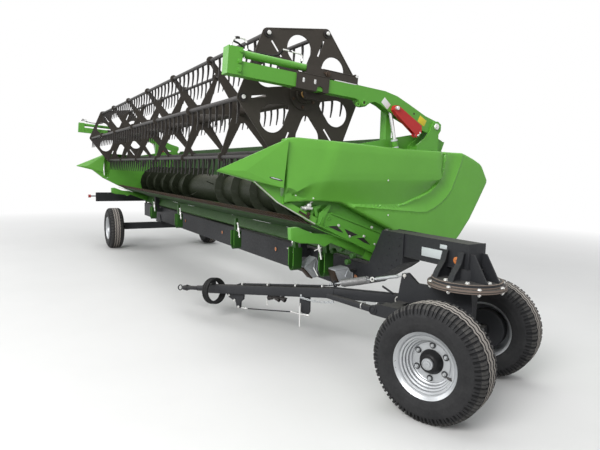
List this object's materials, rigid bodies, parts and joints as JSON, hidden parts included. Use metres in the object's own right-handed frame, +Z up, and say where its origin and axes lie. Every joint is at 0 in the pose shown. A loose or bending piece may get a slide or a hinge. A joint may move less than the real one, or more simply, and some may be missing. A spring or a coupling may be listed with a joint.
{
  "type": "combine header on transport trailer",
  "caption": "Grain header with knife, auger and lifting pickup reel, carried along a low four-wheel trailer with a turntable front axle and towing drawbar.",
  "frame": {"origin": "middle of the bounding box on the floor", "axes": "+X along the header towards the turntable end, -Y the cutting side, +Z up"},
  "size_m": [9.6413, 2.7318, 2.7015],
  "materials": {
    "green": "semi-gloss green paint",
    "green_tin": "semi-gloss green paint on sheet",
    "frame_grey": "satin dark grey paint",
    "reel_dark": "satin dark brown paint",
    "bare_steel": "bright",
    "zinc": "galvanised",
    "rim_silver": "satin silver paint",
    "tyre": "worn matt",
    "red_paint": "satin red paint",
    "chrome": "bright",
    "knife_steel": "dark worn steel",
    "lamp_lens": "clear red",
    "cable_black": "matt"
  },
  "bodies": {
    "trailer": {"main_beam": "frame_grey", "gooseneck": "frame_grey", "rear_axle": "frame_grey", "light_bar": "frame_grey", "lamps": "lamp_lens", "cradles": "frame_grey", "chocks": "zinc", "trough": "green", "knife_table": "green", "cutterbar": "knife_steel", "back_frame": "green", "end_frames": "green", "side_covers": "green_tin", "dividers": "green_tin", "skid_shoes": "green"},
    "bogie": {"bogie_frame": "frame_grey"},
    "drawbar_spring": {"drawbar_spring": "zinc"},
    "drawbar": {"drawbar": "frame_grey", "cable_coil": "cable_black"},
    "wheel_fn": {"rim_fn": "rim_silver", "tyre_fn": "tyre"},
    "wheel_ff": {"rim_ff": "rim_silver", "tyre_ff": "tyre"},
    "wheel_rn": {"rim_rn": "rim_silver", "tyre_rn": "tyre"},
    "wheel_rf": {"rim_rf": "rim_silver", "tyre_rf": "tyre"},
    "auger": {"auger": "green"},
    "reel_arms": {"reel_arms": "green", "safety_props": "red_paint", "slide_cylinders": "green"},
    "reel_carriage": {"carriages": "reel_dark", "slide_rods": "chrome"},
    "reel": {"reel_tube": "reel_dark", "reel_stars": "reel_dark"},
    "bat_1": {"bat_1": "reel_dark"},
    "bat_2": {"bat_2": "reel_dark"},
    "bat_3": {"bat_3": "reel_dark"},
    "bat_4": {"bat_4": "reel_dark"},
    "bat_5": {"bat_5": "reel_dark"},
    "bat_6": {"bat_6": "reel_dark"},
    "lift_barrel_near": {"lift_barrel_near": "green"},
    "lift_rod_near": {"lift_rod_near": "chrome"},
    "lift_barrel_far": {"lift_barrel_far": "green"},
    "lift_rod_far": {"lift_rod_far": "chrome"}
  },
  "joints": [
    {"name": "turntable_turn", "type": "hinge", "parent": "trailer", "child": "bogie", "pos_m": [4.22438, 0.13342, 0.812], "axis": [0, 0, 1], "range_deg": [0, 328]},
    {"name": "drawbar_pitch", "type": "hinge", "parent": "bogie", "child": "drawbar", "pos_m": [3.66275, -0.07769, 0.545], "axis": [-0.3518, 0.9361, 0], "range_deg": [-5.4, 3]},
    {"name": "spring_swing", "type": "hinge", "parent": "bogie", "child": "drawbar_spring", "pos_m": [3.78444, -0.03195, 0.79], "axis": [-0.3518, 0.9361, 0], "range_deg": [-6, 4]},
    {"name": "wheel_fn_roll", "type": "hinge", "parent": "bogie", "child": "wheel_fn", "pos_m": [4.40347, -0.34303, 0.38], "axis": [-0.3518, 0.9361, 0], "continuous": true},
    {"name": "wheel_ff_roll", "type": "hinge", "parent": "bogie", "child": "wheel_ff", "pos_m": [4.0453, 0.60987, 0.38], "axis": [-0.3518, 0.9361, 0], "continuous": true},
    {"name": "wheel_rn_roll", "type": "hinge", "parent": "trailer", "child": "wheel_rn", "pos_m": [-3.57562, -0.81658, 0.38], "axis": [0, 1, 0], "continuous": true},
    {"name": "wheel_rf_roll", "type": "hinge", "parent": "trailer", "child": "wheel_rf", "pos_m": [-3.57562, 1.08342, 0.38], "axis": [0, 1, 0], "continuous": true},
    {"name": "auger_turn", "type": "hinge", "parent": "trailer", "child": "auger", "pos_m": [-0.59562, 0.11951, 1.26589], "axis": [1, 0, 0], "continuous": true},
    {"name": "reel_lift", "type": "hinge", "parent": "trailer", "child": "reel_arms", "pos_m": [-0.59562, 0.64842, 1.97], "axis": [-1, 0, 0], "range_deg": [-4, 22]},
    {"name": "reel_slide", "type": "slide", "parent": "reel_arms", "child": "reel_carriage", "axis": [0, 0.9977, -0.068], "range_m": [-0.4, 0]},
    {"name": "reel_turn", "type": "hinge", "parent": "reel_carriage", "child": "reel", "pos_m": [-0.59562, -0.55958, 2.168], "axis": [1, 0, 0], "continuous": true},
    {"name": "bat_1_swing", "type": "hinge", "parent": "reel", "child": "bat_1", "pos_m": [-0.59562, -0.03213, 2.23744], "axis": [1, 0, 0], "continuous": true},
    {"name": "bat_2_swing", "type": "hinge", "parent": "reel", "child": "bat_2", "pos_m": [-0.59562, -0.35599, 2.6595], "axis": [1, 0, 0], "continuous": true},
    {"name": "bat_3_swing", "type": "hinge", "parent": "reel", "child": "bat_3", "pos_m": [-0.59562, -0.88344, 2.59006], "axis": [1, 0, 0], "continuous": true},
    {"name": "bat_4_swing", "type": "hinge", "parent": "reel", "child": "bat_4", "pos_m": [-0.59562, -1.08703, 2.09856], "axis": [1, 0, 0], "continuous": true},
    {"name": "bat_5_swing", "type": "hinge", "parent": "reel", "child": "bat_5", "pos_m": [-0.59562, -0.76317, 1.6765], "axis": [1, 0, 0], "continuous": true},
    {"name": "bat_6_swing", "type": "hinge", "parent": "reel", "child": "bat_6", "pos_m": [-0.59562, -0.23572, 1.74594], "axis": [1, 0, 0], "continuous": true},
    {"name": "lift_barrel_near_swing", "type": "hinge", "parent": "trailer", "child": "lift_barrel_near", "pos_m": [3.27638, 0.32942, 1.41], "axis": [-1, 0, 0], "range_deg": [-6, 10]},
    {"name": "lift_rod_near_slide", "type": "slide", "parent": "lift_barrel_near", "child": "lift_rod_near", "axis": [0, -0.2304, 0.9731], "range_m": [-0.06, 0.26]},
    {"name": "lift_barrel_far_swing", "type": "hinge", "parent": "trailer", "child": "lift_barrel_far", "pos_m": [-4.46762, 0.32942, 1.41], "axis": [-1, 0, 0], "range_deg": [-6, 10]},
    {"name": "lift_rod_far_slide", "type": "slide", "parent": "lift_barrel_far", "child": "lift_rod_far", "axis": [0, -0.2304, 0.9731], "range_m": [-0.06, 0.26]}
  ],
  "couplings": [
    {"joint": "bat_1_swing", "follows": "reel_turn", "ratio": -1},
    {"joint": "bat_2_swing", "follows": "reel_turn", "ratio": -1},
    {"joint": "bat_3_swing", "follows": "reel_turn", "ratio": -1},
    {"joint": "bat_4_swing", "follows": "reel_turn", "ratio": -1},
    {"joint": "bat_5_swing", "follows": "reel_turn", "ratio": -1},
    {"joint": "bat_6_swing", "follows": "reel_turn", "ratio": -1},
    {"joint": "spring_swing", "follows": "drawbar_pitch", "ratio": 0.7216},
    {"joint": "lift_barrel_near_swing", "follows": "reel_lift", "ratio": 0.356},
    {"joint": "lift_rod_near_slide", "follows": "reel_lift", "m_per_rad": 0.4135},
    {"joint": "lift_barrel_far_swing", "follows": "reel_lift", "ratio": 0.356},
    {"joint": "lift_rod_far_slide", "follows": "reel_lift", "m_per_rad": 0.4135}
  ]
}
